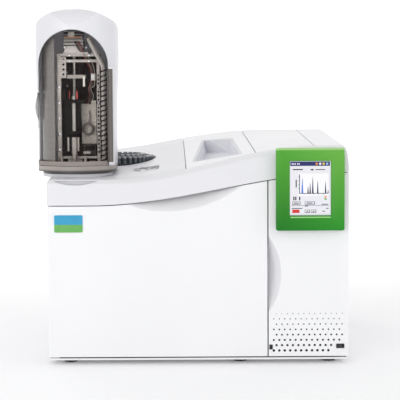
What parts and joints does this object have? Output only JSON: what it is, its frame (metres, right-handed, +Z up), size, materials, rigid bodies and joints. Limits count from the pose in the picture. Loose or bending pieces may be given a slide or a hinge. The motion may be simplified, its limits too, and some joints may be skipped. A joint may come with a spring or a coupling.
{
  "type": "gas chromatograph",
  "caption": "Bench-top gas chromatograph: white cabinet with a swept top, oven door, hinged deck lids, green-framed touch screen, vented panel, vial carousel and a turning sampler tower.",
  "frame": {"origin": "centre of the overall footprint, on the surface the feet stand on", "axes": "+Z up, -Y towards the oven door and the display, +X to the right as seen from the front"},
  "size_m": [0.6924, 0.69, 0.7819],
  "materials": {
    "white_paint": "satin powder coat",
    "white_cover": "satin moulded, painted",
    "feet_rubber": "matte",
    "chassis_steel": "plated sheet",
    "bright_steel": "turned",
    "oven_steel": "brushed stainless",
    "oven_wool": "mineral wool",
    "motor_dark": "satin",
    "amber_column": "polyimide coated",
    "pale_grey": "satin",
    "mid_grey": "fine grain",
    "filter_foam": "open cell foam",
    "black_plastic": "fine grain",
    "green_bezel": "satin, shaded",
    "screen_glass": "polished",
    "display_white": "satin",
    "brass_fitting": "turned",
    "badge_blue": "gloss",
    "vial_glass": "polished",
    "tower_metal": "anodised",
    "smoked_window": "polished, smoked",
    "syringe_glass": "polished",
    "wiring_tan": "matte"
  },
  "bodies": {
    "cabinet": {"base_pan": "white_paint", "feet": "feet_rubber", "front_frame": "chassis_steel", "chassis_deck": "chassis_steel", "hinge_pins": "bright_steel", "side_panel_left": "white_paint", "side_panel_right": "white_paint", "rear_panel": "white_paint", "oven_case": "chassis_steel", "oven_insulation": "oven_wool", "oven_liner": "oven_steel", "heater_baffle": "oven_steel", "oven_fan_motor": "motor_dark", "column_cage": "oven_steel", "column_coil": "amber_column", "injectors": "bright_steel", "detectors": "bright_steel", "top_fascia": "white_cover", "left_deck_cover": "white_cover", "right_deck_cover": "white_cover", "deck_latch": "mid_grey", "carousel_well": "white_cover", "tower_base": "pale_grey", "column_panel": "white_cover", "air_filter": "filter_foam", "power_switch_frame": "black_plastic", "door_latch": "black_plastic", "display_bezel": "green_bezel", "touch_screen": "screen_glass", "display_module": "display_white", "electronics": "motor_dark", "pneumatics_module": "motor_dark", "cooling_fan_housing": "black_plastic", "gas_fittings": "brass_fitting", "rear_connectors": "black_plastic"},
    "door": {"oven_door": "white_cover", "door_plug": "chassis_steel", "door_gasket": "feet_rubber", "badge_plate": "badge_blue"},
    "detector_cover": {"detector_lid": "white_cover", "recess_tray": "mid_grey"},
    "pneumatics_cover": {"pneumatics_lid": "white_cover"},
    "oven_fan_wheel": {"oven_fan": "oven_steel"},
    "cooling_fan_wheel": {"cooling_fan": "black_plastic"},
    "flap": {"exhaust_flap": "bright_steel"},
    "rocker": {"power_rocker": "black_plastic"},
    "carousel": {"carousel_tray": "black_plastic", "vials": "vial_glass"},
    "tower": {"tower_floor": "pale_grey", "tower_shell": "white_cover", "tower_liner": "tower_metal", "sampler_frame": "tower_metal", "lift_motor": "tower_metal", "sampler_wiring": "wiring_tan"},
    "window": {"tower_window": "smoked_window"},
    "screw": {"lead_screw": "bright_steel"},
    "lift": {"carriage": "black_plastic", "syringe": "syringe_glass"},
    "piston": {"plunger": "bright_steel"}
  },
  "joints": [
    {"name": "oven_door_hinge", "type": "hinge", "parent": "cabinet", "child": "door", "pos_m": [-0.30375, -0.313, 0.2], "axis": [0, 0, -1], "range_deg": [0, 110]},
    {"name": "detector_lid_hinge", "type": "hinge", "parent": "cabinet", "child": "detector_cover", "pos_m": [0.06225, 0.313, 0.452], "axis": [-1, 0, 0], "range_deg": [0, 70]},
    {"name": "pneumatics_lid_hinge", "type": "hinge", "parent": "cabinet", "child": "pneumatics_cover", "pos_m": [0.20625, 0.313, 0.452], "axis": [-1, 0, 0], "range_deg": [0, 70]},
    {"name": "oven_fan_spin", "type": "hinge", "parent": "cabinet", "child": "oven_fan_wheel", "pos_m": [-0.07345, 0.005, 0.19975], "axis": [0, 1, 0], "continuous": true},
    {"name": "cooling_fan_spin", "type": "hinge", "parent": "cabinet", "child": "cooling_fan_wheel", "pos_m": [0.25625, 0.31, 0.15], "axis": [0, 1, 0], "continuous": true},
    {"name": "exhaust_flap_hinge", "type": "hinge", "parent": "cabinet", "child": "flap", "pos_m": [0.06185, 0.329, 0.246], "axis": [1, 0, 0], "range_deg": [0, 60]},
    {"name": "power_rocker_tilt", "type": "hinge", "parent": "cabinet", "child": "rocker", "pos_m": [0.32825, -0.319, 0.0399], "axis": [0, 0, 1], "range_deg": [0, 16]},
    {"name": "carousel_turn", "type": "hinge", "parent": "cabinet", "child": "carousel", "pos_m": [-0.18275, 0.02, 0.41], "axis": [0, 0, 1], "continuous": true},
    {"name": "tower_turn", "type": "hinge", "parent": "cabinet", "child": "tower", "pos_m": [-0.25375, -0.207, 0.42], "axis": [0, 0, 1], "range_deg": [0, 70]},
    {"name": "tower_window_hinge", "type": "hinge", "parent": "tower", "child": "window", "pos_m": [-0.17527, -0.26401, 0.545], "axis": [0, 0, 1], "range_deg": [0, 100]},
    {"name": "sampler_lift", "type": "slide", "parent": "tower", "child": "lift", "axis": [0, 0, 1], "range_m": [-0.03, 0.004]},
    {"name": "lead_screw_turn", "type": "hinge", "parent": "tower", "child": "screw", "pos_m": [-0.25875, -0.213, 0.56], "axis": [0, 0, 1], "continuous": true},
    {"name": "plunger_stroke", "type": "slide", "parent": "lift", "child": "piston", "axis": [0, 0, 1], "range_m": [0, 0.02]}
  ],
  "couplings": [
    {"joint": "lead_screw_turn", "follows": "sampler_lift", "rad_per_m": 314.16}
  ]
}
